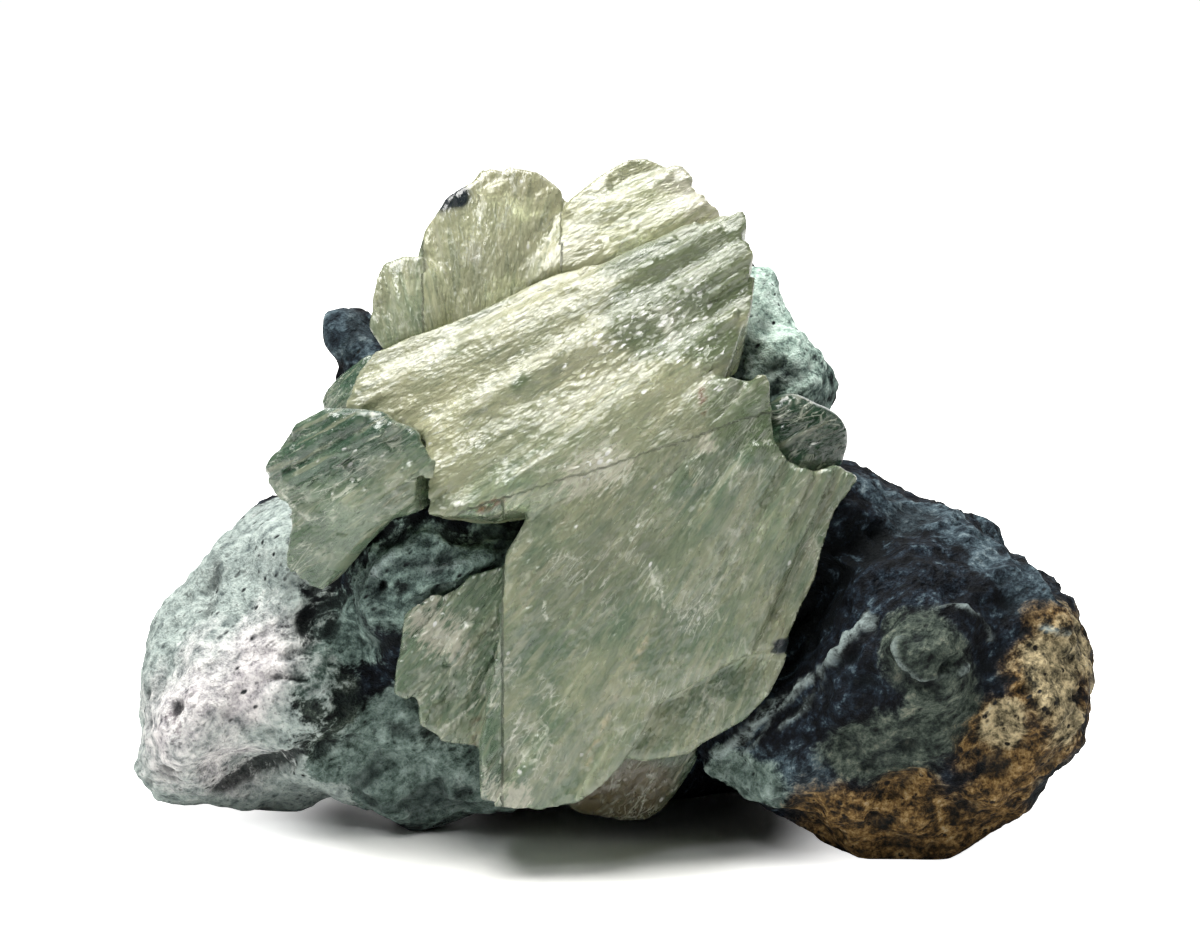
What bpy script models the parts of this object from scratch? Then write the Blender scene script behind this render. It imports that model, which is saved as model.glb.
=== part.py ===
# Brucite on its matrix: books of pale green crystal sheets grown over a lump of dark serpentine rock.
# Lengths below are in millimetres, and MM turns them into metres.
# +X is to the right, -Y is the side that the crystals face, and +Z is up from the surface that the rock stands on.

import random

import bmesh
import bpy
from math import cos, pi, radians, sin
from mathutils import Matrix, Vector, noise

MM = 0.001

# The rock's lobes are outlines in X and Z, each bulging forwards and backwards from its own ridge. A fullness under
# 1 squares the bulge off. Facets are broken faces: a point on each, and the way that it looks.
# The union of the lobes is one stone.
LOBES = {
    "left_lobe": {
        "outline": [(-26.5, 26.7), (-29.7, 26.0), (-33.7, 22.6), (-38.0, 17.4), (-40.1, 12.9),
                    (-40.5, 8.1), (-41.3, 4.4), (-38.8, 2.0), (-34.0, 0.4), (-29.9, -0.6),
                    (-25.2, 0.6), (-18.3, 3.3), (-15.7, 9.4), (-16.5, 18.1), (-19.8, 25.0)],
        "ridge": 5.0, "front": 13.5, "back": 14.0, "fullness": 0.55,
        "facets": [((-30.0, 16.0, 12.0), (-0.3, 0.9, 0.3)),
                   ((-28.0, -5.0, 6.0), (0.05, -0.6, -0.8)),
                   ((-34.5, -2.0, 18.5), (-0.6, -0.5, 0.62))],
    },
    "left_toe": {
        "outline": [(-29.0, 3.4), (-24.6, 2.8), (-22.5, 2.4), (-19.6, 0.5), (-17.1, -0.6),
                    (-12.1, 1.2), (-7.0, 2.5), (-4.6, 7.7), (-8.0, 14.5), (-16.0, 17.9),
                    (-22.7, 16.2), (-27.0, 11.0)],
        "ridge": -1.5, "front": 6.0, "back": 10.0, "fullness": 0.6,
        "facets": [],
    },
    "right_lobe": {
        "outline": [(6.9, 23.6), (11.7, 28.5), (17.4, 30.6), (23.5, 29.5), (30.4, 25.2),
                    (34.5, 23.4), (37.5, 20.3), (39.4, 16.5), (39.3, 12.3), (36.6, 6.0),
                    (32.7, 1.7), (26.0, -1.5), (20.2, -1.9), (15.3, 0.2), (10.3, 3.4),
                    (7.0, 6.1), (6.1, 11.9)],
        "ridge": -4.0, "front": 13.5, "back": 17.0, "fullness": 0.55,
        "facets": [((24.0, -13.0, 24.0), (0.1, -0.6, 0.79)),
                   ((25.0, -15.0, 6.0), (0.1, -0.8, -0.6)),
                   ((12.0, -12.0, 14.0), (-0.5, -0.85, 0.1)),
                   ((26.0, 10.0, 14.0), (0.35, 0.9, 0.25))],
    },
    "middle_patch": {
        "outline": [(-22.8, 20.4), (-21.6, 24.2), (-18.4, 28.3), (-15.6, 29.0), (-12.4, 27.8),
                    (-7.8, 27.2), (-8.3, 25.0), (-10.8, 23.2), (-15.2, 19.5), (-17.3, 15.0),
                    (-21.7, 16.0)],
        "ridge": -6.0, "front": 5.0, "back": 10.0, "fullness": 0.6,
        "facets": [],
    },
    "upper_right": {
        "outline": [(6.0, 43.8), (11.0, 46.9), (12.7, 46.6), (13.9, 43.8), (14.2, 41.1),
                    (15.9, 39.1), (17.6, 36.4), (17.4, 34.5), (15.9, 32.0), (12.2, 27.4),
                    (6.0, 27.4)],
        "ridge": 4.0, "front": 4.5, "back": 15.0, "fullness": 0.6,
        "facets": [((15.0, 12.0, 36.0), (0.8, 0.6, 0.1))],
    },
    "left_shoulder": {
        "outline": [(-23.0, 29.0), (-23.5, 35.0), (-21.5, 40.6), (-18.0, 42.0), (-14.0, 38.0),
                    (-15.0, 28.0)],
        "ridge": 5.0, "front": 4.5, "back": 11.0, "fullness": 0.6,
        "facets": [],
    },
    "nodule": {
        "outline": [(-24.5, 40.0), (-24.3, 43.0), (-22.6, 44.0), (-20.6, 42.6), (-19.6, 40.1),
                    (-22.4, 38.4)],
        "ridge": 4.0, "front": 2.8, "back": 5.0, "fullness": 0.7,
        "facets": [],
    },
    "crest": {
        "outline": [(-16.2, 43.0), (-15.0, 48.6), (-14.2, 51.0), (-12.2, 52.4), (-8.0, 51.6),
                    (-2.0, 49.0), (4.0, 50.0), (9.0, 47.0), (9.0, 40.0), (-8.0, 38.0)],
        "ridge": 9.0, "front": 5.0, "back": 9.0, "fullness": 0.6,
        "facets": [],
    },
    "upper_core": {
        "outline": [(-22.0, 28.0), (-19.0, 39.0), (-13.0, 47.5), (-5.0, 48.5), (3.0, 48.5),
                    (9.0, 45.0), (13.0, 39.0), (15.0, 28.0), (8.0, 20.0), (-14.0, 20.0)],
        "ridge": 11.0, "front": 11.5, "back": 14.0, "fullness": 0.5,
        "facets": [((0.0, 21.0, 40.0), (0.15, 0.72, 0.66)),
                   ((-15.0, 16.0, 34.0), (-0.7, 0.6, 0.3)),
                   ((10.0, 19.0, 32.0), (0.6, 0.8, -0.1))],
    },
    "lower_core": {
        "outline": [(-24.0, 24.0), (-10.0, 32.0), (9.0, 32.0), (22.0, 25.0), (20.0, 12.0),
                    (9.0, 6.5), (-6.0, 5.0), (-20.0, 8.0)],
        "ridge": 5.0, "front": 12.5, "back": 17.0, "fullness": 0.5,
        "facets": [((-12.0, 18.0, 24.0), (-0.35, 0.85, 0.35))],
    },
    "rear_foot": {
        "outline": [(-17.0, 14.0), (-8.0, 23.0), (9.0, 23.0), (21.0, 14.0), (19.0, 4.0),
                    (12.0, -1.4), (0.0, -1.8), (-10.0, -1.2), (-17.0, 5.0)],
        "ridge": 14.0, "front": 10.0, "back": 10.0, "fullness": 0.55,
        "facets": [((6.0, 22.0, 8.0), (0.2, 0.95, -0.25))],
    },
}
LOBE_RINGS = 5  # rings from a lobe's ridge to the flat cap at the end of its bulge
CAP_RING = 5.6  # where the bulge would close if it had no cap, counted in rings
ROCK_VOXEL = 1.15
ROCK_TRIANGLES = 4700

# Hollows and swellings of the finished stone: where, how far they reach, and how far they push its surface.
DENTS = [
    {"at": (-23.5, -4.0, 18.5), "reach": 6.5, "push": (1.0, 5.5, 0.0)},
    {"at": (-31.0, -6.5, 4.5), "reach": 5.0, "push": (0.5, 3.0, 1.0)},
    {"at": (13.0, -14.0, 21.0), "reach": 8.0, "push": (1.0, 3.5, 0.0)},
    {"at": (24.5, -16.5, 19.5), "reach": 6.0, "push": (0.0, -2.2, 0.5)},
    {"at": (33.0, -12.0, 12.0), "reach": 6.0, "push": (0.8, -1.6, 0.0)},
    {"at": (20.0, -16.0, 9.0), "reach": 5.0, "push": (0.0, 1.8, 0.0)},
    {"at": (10.0, 22.0, 30.0), "reach": 9.0, "push": (0.0, -4.0, 0.0)},
    {"at": (-12.0, 24.0, 14.0), "reach": 7.0, "push": (0.0, -3.0, 0.0)},
]
LUMP_SIZE = 9.0
LUMP_DEPTH = 2.0
SHARD_SIZE = 5.5
SHARD_DEPTH = 3.4
SHARD_MIDDLE = 0.4  # the usual distance to a shard's middle, where the surface stays as it is
OUTLINE_CALM = 0.45  # share of the relief that is left where the surface looks sideways, on the outlines

# A crystal is a book of sheets. Its outline lies in its own plane: X along it, Y up it, and Z out of it towards the
# viewer. The book is laid up in boards, narrow packets of sheets side by side, whose direction swings from one end of
# "along" to the other. "crown" is how far the book thins in front at its sides. A plate is a single plain sheet.
BOOKS = {
    "upper_blade": {
        "outline": [(-12.8, 11.9), (-11.9, 15.1), (-10.5, 17.3), (-6.9, 18.8), (-3.0, 20.6),
                    (0.5, 23.0), (3.6, 24.5), (6.8, 25.2), (9.1, 26.8), (13.8, 29.2),
                    (14.7, 28.4), (16.4, 29.3), (17.8, 29.1), (18.2, 26.9), (19.1, 24.8),
                    (18.8, 21.0), (18.2, 18.0), (17.2, 15.2), (15.9, 14.6), (15.9, 11.7),
                    (12.1, 9.3), (7.6, 6.5), (2.1, 4.6), (-1.0, 3.5), (-5.6, 3.2),
                    (-5.4, 8.1), (-6.8, 9.8), (-10.3, 11.3)],
        "at": (-10.0, -15.2, 26.0), "lean": 28.0, "turn": -10.0,
        "along": (40.0, 27.0), "boards": 12, "thick": 9.0, "crown": 2.2, "relief": 0.75, "slip": 0.4,
        "plates": [],
    },
    "lower_blade": {
        "outline": [(-6.0, 10.9), (-9.1, 5.4), (-8.9, 2.3), (-9.1, -1.7), (-10.0, -5.6),
                    (-10.8, -9.1), (-10.8, -11.9), (-10.4, -13.8), (-6.0, -14.2), (-3.2, -13.7),
                    (-1.2, -12.3), (0.5, -10.5), (1.9, -8.3), (3.1, -6.0), (6.6, -4.0),
                    (10.2, -2.0), (13.1, -1.7), (14.5, 1.5), (15.7, 3.9), (16.2, 6.1),
                    (17.3, 9.4), (19.2, 11.9), (17.5, 12.9), (15.7, 12.4), (13.5, 13.1),
                    (12.4, 14.9), (11.9, 18.0), (11.7, 19.6), (8.4, 19.9), (4.0, 17.0)],
        "at": (0.0, -14.6, 20.0), "lean": 10.0, "turn": 0.0,
        "along": (68.0, 42.0), "boards": 12, "thick": 7.5, "crown": 1.6, "relief": 0.7, "slip": 0.3,
        "plates": [{"outline": [(0.5, -6.0), (0.5, -10.2), (2.3, -10.5), (5.8, -9.9), (6.8, -9.1),
                                (10.2, -7.2), (12.1, -5.2), (13.3, -2.8), (13.7, -0.9),
                                (12.0, 2.0), (4.0, 0.0)],
                    "front": -1.9, "back": -5.2},
                   {"outline": [(-10.6, -13.5), (-10.7, -9.0), (-8.5, 1.0), (-5.0, 8.0), (0.0, 8.0),
                                (-3.0, -2.0), (-6.0, -13.8)],
                    "front": -1.3, "back": -5.6}],
    },
    "crown_right": {
        "outline": [(-10.7, -6.3), (-8.3, -0.2), (-6.7, 3.2), (-4.2, 5.4), (-2.2, 6.7),
                    (-0.5, 7.1), (2.3, 5.9), (3.9, 3.8), (5.2, 1.8), (6.3, -2.7),
                    (3.8, -6.3), (-2.6, -8.1)],
        "at": (3.0, 0.0, 50.0), "lean": 32.0, "turn": 0.0,
        "along": (44.0, 22.0), "boards": 7, "thick": 7.5, "crown": 2.4, "relief": 0.7, "slip": 0.3,
        "plates": [],
    },
    "crown_left": {
        "outline": [(-3.9, -2.0), (-3.7, 4.1), (-2.9, 6.7), (-1.2, 9.2), (1.1, 10.5),
                    (2.4, 12.2), (6.5, 11.1), (8.7, 9.3), (10.4, 6.3), (10.2, 2.0),
                    (5.9, -1.3), (-0.8, -3.3)],
        "at": (-12.0, -2.0, 44.0), "lean": 24.0, "turn": 8.0,
        "along": (66.0, 104.0), "boards": 8, "thick": 7.5, "crown": 2.0, "relief": 0.8, "slip": 0.4,
        "plates": [],
    },
    "crown_edge": {
        "outline": [(-6.8, -3.2), (-8.0, -1.5), (-7.1, 3.6), (-5.3, 4.3), (-3.7, 4.1),
                    (-2.2, 2.5), (-1.6, -3.3)],
        "at": (-12.0, -2.8, 44.0), "lean": 24.0, "turn": -6.0,
        "along": (96.0, 112.0), "boards": 3, "thick": 5.5, "crown": 1.0, "relief": 0.6, "slip": 0.3,
        "plates": [],
    },
    "left_book": {
        "outline": [(-5.2, 4.0), (-2.9, 7.5), (-0.5, 8.8), (4.3, 8.8), (7.5, 7.2), (8.5, 5.3),
                    (8.1, 1.3), (4.9, 0.4), (1.7, -3.3), (-0.5, -5.4), (-2.6, -4.8),
                    (-3.0, -3.1), (-2.4, 0.1)],
        "at": (-23.0, -12.0, 28.0), "lean": 5.0, "turn": -12.0,
        "along": (42.0, 26.0), "boards": 8, "thick": 8.5, "crown": 1.8, "relief": 1.1, "slip": 0.5,
        "plates": [],
    },
    "lower_left_blade": {
        "outline": [(2.6, 7.9), (-1.4, 6.8), (-4.6, 5.5), (-6.6, 3.7), (-7.4, -2.2),
                    (-5.8, -3.0), (-5.6, -5.0), (-3.7, -6.1), (-0.8, -6.5), (3.1, -3.2)],
        "at": (-10.0, -12.5, 17.0), "lean": 14.0, "turn": 6.0,
        "along": (60.0, 46.0), "boards": 6, "thick": 7.5, "crown": 1.6, "relief": 1.1, "slip": 0.5,
        "plates": [],
    },
    "right_knob": {
        "outline": [(-6.5, 2.6), (-6.5, 7.0), (-3.9, 7.0), (-2.6, 6.7), (-1.0, 6.7), (-0.1, 5.7),
                    (2.0, 5.0), (2.8, 3.5), (2.7, 1.7), (1.7, 0.4), (0.2, -0.5), (-1.6, -0.3),
                    (-3.4, 1.1)],
        "at": (16.0, -10.0, 31.3), "lean": 15.0, "turn": 10.0,
        "along": (32.0, 16.0), "boards": 5, "thick": 9.0, "crown": 1.4, "relief": 0.8, "slip": 0.3,
        "plates": [],
    },
    "under_crystal": {
        "outline": [(-5.2, 4.7), (2.1, 4.7), (3.0, 1.4), (1.3, -1.5), (-0.3, -4.0),
                    (-2.0, -4.8), (-6.9, -3.8), (-8.8, -3.0), (-6.1, 0.0)],
        "at": (4.0, -8.0, 6.0), "lean": -15.0, "turn": 0.0,
        "along": (64.0, 50.0), "boards": 4, "thick": 7.0, "crown": 1.0, "relief": 0.7, "slip": 0.3,
        "plates": [],
    },
    "left_edge_crystal": {
        "outline": [(-3.7, -2.0), (-3.4, -1.0), (-2.1, 0.5), (0.1, 2.5), (3.3, 3.2),
                    (5.3, 0.0), (2.3, -4.3), (-2.5, -3.7)],
        "at": (-21.0, -1.0, 38.0), "lean": 20.0, "turn": -15.0,
        "along": (40.0, 50.0), "boards": 3, "thick": 5.0, "crown": 0.8, "relief": 0.6, "slip": 0.2,
        "plates": [],
    },
}

# Crystals that overlap have grown into one solid. Each solid is a node, cut where an earlier one already stands.
CRYSTALS = {
    "main_blades": ["upper_blade", "lower_blade", "lower_left_blade"],
    "crown_crystals": ["crown_left", "crown_edge", "crown_right"],
    "left_crystal": ["left_book"],
    "right_knob_crystal": ["right_knob"],
    "under_crystal": ["under_crystal"],
    "left_edge_crystal": ["left_edge_crystal"],
}
BOARD_LAP = 0.12  # how far each board runs into the next
SIDE_THIN = 0.5  # how much of the thickness is lost at the sides of a book
SWELL_POWER = 0.6  # under 1 keeps most of a book's width at full thickness
BACK_WANDER = 0.5  # how far the boards' backs may stand from the book's thickness
BOARD_ROLL = 11.0  # degrees that a board's front may roll about its length
BOARD_PITCH = 1.8  # degrees that it may dip towards an end
BOARD_TAPER = 0.014  # how fast a board's outline narrows behind its front, as a share of its size for each mm
HEADROOM = 3.0  # what a board is first cut too thick by, so that its front can be sloped
LEDGE_SHARE = 0.7  # share of the boards that carry a shorter sheet on their front
LEDGE_INSET = 0.3  # how far that sheet stands in from the board's sides
LEDGE_SHRINK = 0.97  # size of the outline that the sheet is cut from
LEDGE_SKEW = 0.6  # radians that its ends may be off square
LEDGE_ROOT = 1.0  # how far the sheet reaches down into its board
LEDGE_RISE = (0.3, 0.6)  # least and most that it stands proud, as shares of the book's relief
LEDGE_START = (-0.45, 0.05)  # where it may start along its board, as shares of the outline's reach
LEDGE_LENGTH = (0.4, 0.9)  # how long it may be, as shares of the same
SEAT_GAP = 0.3  # clear gap between a piece and what it grows on

ROCK_COLOUR = (0.16, 0.19, 0.19, 1.0)
CRYSTAL_COLOUR = (0.52, 0.55, 0.42, 1.0)


def material(name, colour, roughness, transmission=0.0):
    made = bpy.data.materials.new(name)
    made.use_nodes = True
    shader = made.node_tree.nodes["Principled BSDF"]
    shader.inputs["Base Color"].default_value = colour
    shader.inputs["Roughness"].default_value = roughness
    shader.inputs["Metallic"].default_value = 0.0
    shader.inputs["Transmission Weight"].default_value = transmission
    return made


def add_object(name, bm, collection=None):
    mesh = bpy.data.meshes.new(name)
    bm.to_mesh(mesh)
    bm.free()
    obj = bpy.data.objects.new(name, mesh)
    (collection or bpy.context.scene.collection).objects.link(obj)
    return obj


def as_helper(obj):
    obj.hide_render = True
    obj.display_type = "WIRE"
    return obj


def evaluated_copy(obj, name):
    """A new object whose mesh is what the modifiers of obj make, in world space."""
    bpy.context.view_layer.update()
    graph = bpy.context.evaluated_depsgraph_get()
    mesh = bpy.data.meshes.new_from_object(obj.evaluated_get(graph))
    mesh.transform(obj.matrix_world)
    mesh.name = name
    made = bpy.data.objects.new(name, mesh)
    bpy.context.scene.collection.objects.link(made)
    return made


def drop_chips(mesh):
    """Keeps the largest connected body of a mesh and drops the chips that a cut left loose."""
    bm = bmesh.new()
    bm.from_mesh(mesh)
    unseen = set(bm.faces)
    bodies = []
    while unseen:
        stack = [unseen.pop()]
        body = list(stack)
        while stack:
            for edge in stack.pop().edges:
                for face in edge.link_faces:
                    if face in unseen:
                        unseen.remove(face)
                        stack.append(face)
                        body.append(face)
        bodies.append(body)
    bodies.sort(key=lambda body: sum(face.calc_area() for face in body))
    for body in bodies[:-1]:
        bmesh.ops.delete(bm, geom=body, context="FACES")
    loose = [vert for vert in bm.verts if not vert.link_faces]
    bmesh.ops.delete(bm, geom=loose, context="VERTS")
    bm.to_mesh(mesh)
    bm.free()


def ring(bm, points):
    verts = [bm.verts.new(point) for point in points]
    return [bm.edges.new((verts[i - 1], verts[i])) for i in range(len(verts))]


def cut_side(bm, point, normal):
    """Cuts away what lies on the side that normal points to, and closes the cut."""
    geom = list(bm.verts) + list(bm.edges) + list(bm.faces)
    bmesh.ops.bisect_plane(bm, geom=geom, plane_co=point, plane_no=normal, clear_outer=True)
    rims = [edge for edge in bm.edges if edge.is_boundary]
    bmesh.ops.holes_fill(bm, edges=rims)


def lobe(outline, ridge, front, back, fullness, facets):
    """One closed bulging lump: rings of the outline that shrink about its middle, capped and cut to its facets."""
    bm = bmesh.new()
    middle = sum((Vector(point) for point in outline), Vector((0, 0))) / len(outline)
    loops = []
    for step in range(-LOBE_RINGS, LOBE_RINGS + 1):
        angle = step / CAP_RING * pi / 2
        share = cos(angle) ** fullness
        depth = ridge + (back if step > 0 else front) * sin(angle)
        places = [middle + (Vector(point) - middle) * share for point in outline]
        loops.append(ring(bm, [Vector((x, depth, z)) * MM for x, z in places]))
    for first, second in zip(loops, loops[1:]):
        bmesh.ops.bridge_loops(bm, edges=first + second)
    for ends in (loops[0], loops[-1]):
        bmesh.ops.contextual_create(bm, geom=ends)
    bmesh.ops.recalc_face_normals(bm, faces=bm.faces)
    for point, normal in facets:
        cut_side(bm, Vector(point) * MM, Vector(normal))
    return bm


def join_lobes():
    """All the lobes in one mesh, still overlapping."""
    whole = bpy.data.meshes.new("lobes")
    together = bmesh.new()
    for spec in LOBES.values():
        bm = lobe(**spec)
        bm.to_mesh(whole)
        bm.free()
        together.from_mesh(whole)
    bpy.data.meshes.remove(whole)
    return together


def press_dents(mesh):
    for vert in mesh.vertices:
        for dent in DENTS:
            away = (vert.co / MM - Vector(dent["at"])).length / dent["reach"]
            if away < 1:
                vert.co += Vector(dent["push"]) * MM * (1 - away * away) ** 2


def break_up(mesh):
    """Lumps and small broken shards over the whole stone, calmer where its outlines lie."""
    moves = []
    for vert in mesh.vertices:
        place = vert.co / MM
        lumps = noise.fractal(place / LUMP_SIZE, 1.0, 2.0, 3) * LUMP_DEPTH
        shards = (SHARD_MIDDLE - noise.voronoi(place / SHARD_SIZE)[0][0]) * SHARD_DEPTH
        calm = OUTLINE_CALM + (1 - OUTLINE_CALM) * abs(vert.normal.y)
        moves.append(vert.normal * (lumps + shards) * calm * MM)
    for vert, move in zip(mesh.vertices, moves):
        vert.co += move


def remeshed(obj, name):
    fuse = obj.modifiers.new("fuse", "REMESH")
    fuse.mode = "VOXEL"
    fuse.voxel_size = ROCK_VOXEL * MM
    return evaluated_copy(as_helper(obj), name)


def build_rock():
    """The stone, with its feet trimmed flat on the ground, and a slightly larger copy that cuts seats in crystals."""
    fused = remeshed(add_object("rock_lobes", join_lobes()), "rock_fused")
    press_dents(fused.data)
    break_up(fused.data)
    rough = remeshed(fused, "rock_rough")
    thin = as_helper(rough).modifiers.new("thin", "DECIMATE")
    thin.ratio = ROCK_TRIANGLES / (2 * len(rough.data.polygons))
    rock = evaluated_copy(rough, "matrix_rock")
    drop_chips(rock.data)
    seat = evaluated_copy(rock, "rock_seat")
    grow = seat.modifiers.new("seat gap", "DISPLACE")
    grow.strength = SEAT_GAP * MM
    grow.mid_level = 0.0
    bm = bmesh.new()
    bm.from_mesh(rock.data)
    cut_side(bm, Vector((0, 0, 0)), Vector((0, 0, -1)))
    bm.to_mesh(rock.data)
    bm.free()
    drop_chips(rock.data)
    rock.data.materials.append(material("matrix rock", ROCK_COLOUR, 0.85))
    return rock, as_helper(seat)


def slab(outline, front, back, taper=0.0, level=0.0):
    """A flat prism of the outline, from back to front along Z.

    With a taper it narrows towards its back, and has the outline's own size at the level."""
    middle = sum((Vector(point) for point in outline), Vector((0, 0))) / len(outline)
    bm = bmesh.new()
    low = [middle + (Vector(point) - middle) * (1 + taper * (back - level)) for point in outline]
    face = bm.faces.new([bm.verts.new(Vector((*point, back)) * MM) for point in low])
    lifted = bmesh.ops.extrude_face_region(bm, geom=[face])
    top = [item for item in lifted["geom"] if isinstance(item, bmesh.types.BMVert)]
    growth = (1 + taper * (front - level)) / (1 + taper * (back - level))
    for vert in top:
        flat = middle + (vert.co.xy / MM - middle) * growth
        vert.co = Vector((*flat, front)) * MM
    bmesh.ops.recalc_face_normals(bm, faces=bm.faces)
    return bm


def swing(spec, share):
    """The direction of the sheets at that share of the way across the book, in radians."""
    first, last = spec["along"]
    return radians(first + (last - first) * share)


def board(spec, number, front, back, chance, ends=None):
    """One packet of sheets cut from the book's outline, with a sloping front, slipped a little on its neighbours.

    With ends, it is the shorter sheet that stands on a board between them."""
    outline = [Vector(point) for point in spec["outline"]]
    middle = sum(outline, Vector((0, 0))) / len(outline)
    count = spec["boards"]
    across = Vector((-sin(swing(spec, 0.5)), cos(swing(spec, 0.5))))
    spans = [across.dot(point - middle) for point in outline]
    width = (max(spans) - min(spans)) / count
    angle = swing(spec, (number + 0.5) / count)
    forward = Vector((cos(angle), sin(angle), 0))
    sideways = Vector((-sin(angle), cos(angle), 0))
    heart = Vector((*(middle + across * (min(spans) + width * (number + 0.5))), front)) * MM
    roll = Matrix.Rotation(radians(chance.uniform(-1, 1) * BOARD_ROLL), 3, forward)
    pitch = Matrix.Rotation(radians(chance.uniform(-1, 1) * BOARD_PITCH), 3, sideways)
    size = LEDGE_SHRINK if ends else 1
    cut = [middle + (point - middle) * size for point in outline]
    bm = slab(cut, front + HEADROOM, back, BOARD_TAPER, front)
    cut_side(bm, heart, roll @ pitch @ Vector((0, 0, 1)))
    side_room = -LEDGE_INSET if ends else BOARD_LAP
    for edge, side in ((number, -1), (number + 1, 1)):
        if edge in (0, count) and not ends:
            continue
        angle = swing(spec, edge / count)
        place = middle + across * (min(spans) + width * edge + side * side_room)
        cut_side(bm, Vector((*place, 0)) * MM, Vector((-sin(angle), cos(angle), 0)) * side)
    for reach, side in zip(ends or (), (-1, 1)):
        skew = Matrix.Rotation(chance.uniform(-1, 1) * LEDGE_SKEW, 3, "Z")
        cut_side(bm, heart + forward * reach * MM, skew @ forward * side)
    bmesh.ops.translate(bm, verts=bm.verts, vec=forward * chance.uniform(-1, 1) * spec["slip"] * MM)
    return bm


def book_parts(spec, chance):
    """The book's boards, the shorter sheets on their fronts, and its plates."""
    reach = max(Vector(point).length for point in spec["outline"])
    for number in range(spec["boards"]):
        swell = sin(pi * (number + 0.5) / spec["boards"]) ** SWELL_POWER
        front = (swell - 1) * spec["crown"] + chance.uniform(-0.5, 0.5) * spec["relief"]
        back = -spec["thick"] * (1 - SIDE_THIN * (1 - swell)) + chance.uniform(-1, 1) * BACK_WANDER
        yield board(spec, number, front, back, chance)
        if chance.random() < LEDGE_SHARE:
            raised = front + chance.uniform(*LEDGE_RISE) * spec["relief"]
            start = chance.uniform(*LEDGE_START) * reach
            stop = start + chance.uniform(*LEDGE_LENGTH) * reach
            yield board(spec, number, raised, front - LEDGE_ROOT, chance, ends=(start, stop))
    for plate in spec["plates"]:
        yield slab(plate["outline"], plate["front"], plate["back"])


def pose(spec):
    turn = Matrix.Rotation(radians(spec["turn"]), 4, "Z")
    stand = Matrix.Rotation(radians(90 - spec["lean"]), 4, "X")
    return Matrix.Translation(Vector(spec["at"]) * MM) @ turn @ stand


def build_crystal(name, books, rock_seat, earlier, finish):
    """One solid of overlapping books, cut back to its seat on the rock and to the crystals that stand before it."""
    chance = random.Random(name)
    sheets = bpy.data.collections.new(name + " sheets")
    for book in books:
        spec = BOOKS[book]
        for k, bm in enumerate(book_parts(spec, chance)):
            bm.transform(pose(spec))
            as_helper(add_object(f"{name}_sheets_{book}_{k}", bm, sheets))
    bpy.context.scene.collection.children.link(sheets)
    core = sheets.objects[0]
    sheets.objects.unlink(core)
    bpy.context.scene.collection.objects.link(core)
    grown = core.modifiers.new("grow together", "BOOLEAN")
    grown.operand_type = "COLLECTION"
    grown.collection = sheets
    grown.operation = "UNION"
    whole = evaluated_copy(core, name)
    for cutter in [rock_seat, *earlier]:
        seat = whole.modifiers.new("seat on " + cutter.name, "BOOLEAN")
        seat.object = cutter
        seat.operation = "DIFFERENCE"
    finished = evaluated_copy(whole, name)
    bpy.data.objects.remove(whole)
    finished.name = name
    drop_chips(finished.data)
    finished.data.materials.clear()
    finished.data.materials.append(finish)
    return finished


def outgrown(outline, margin):
    """The outline moved outwards by the margin, side by side."""
    points = [Vector(point) for point in outline]
    turned = sum(a.cross(b) for a, b in zip(points, points[1:] + points[:1]))
    grown = []
    for i, point in enumerate(points):
        sides = [point - points[i - 1], points[(i + 1) % len(points)] - point]
        first, last = [Vector((side.y, -side.x)).normalized() * (1 if turned > 0 else -1) for side in sides]
        grown.append(point + (first + last) * margin / (1 + max(first.dot(last), 0)))
    return grown


def clearance(name, books):
    """The space that a crystal's books take up, grown by the seat gap, which cuts the crystals behind it."""
    cutters = []
    for book in books:
        spec = BOOKS[book]
        grown = outgrown(spec["outline"], SEAT_GAP + spec["slip"])
        reach = max(Vector(point).length for point in grown)
        dip = reach / 2 * sin(radians(BOARD_PITCH))
        bm = slab(grown, SEAT_GAP + spec["relief"] + dip, -spec["thick"] - SEAT_GAP - BACK_WANDER - dip)
        bm.transform(pose(spec))
        cutters.append(as_helper(add_object(f"{name}_clearance_{book}", bm)))
    return cutters


def stand_on_origin(nodes):
    """Moves every node so that the origin is below the middle of the specimen's box, on the ground."""
    bpy.context.view_layer.update()
    graph = bpy.context.evaluated_depsgraph_get()
    corners = [Vector(corner) for node in nodes for corner in node.evaluated_get(graph).bound_box]
    low = Vector([min(corner[axis] for corner in corners) for axis in range(3)])
    high = Vector([max(corner[axis] for corner in corners) for axis in range(3)])
    shift = Vector((-(low.x + high.x) / 2, -(low.y + high.y) / 2, -low.z))
    for node in nodes:
        node.data.transform(Matrix.Translation(shift))
    print("moved by", [round(value / MM, 2) for value in shift], "mm")


def main():
    for obj in list(bpy.data.objects):
        bpy.data.objects.remove(obj)
    rock, rock_seat = build_rock()
    finish = material("brucite", CRYSTAL_COLOUR, 0.3, 0.3)
    nodes = []
    earlier = []
    for name, books in CRYSTALS.items():
        nodes.append(build_crystal(name, books, rock_seat, earlier, finish))
        earlier += clearance(name, books)
    stand_on_origin([rock, *nodes])


main()
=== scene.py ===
from math import cos, floor, radians, sin

import bmesh
import bpy
import numpy as np
from mathutils import Matrix, Vector, noise


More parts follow.
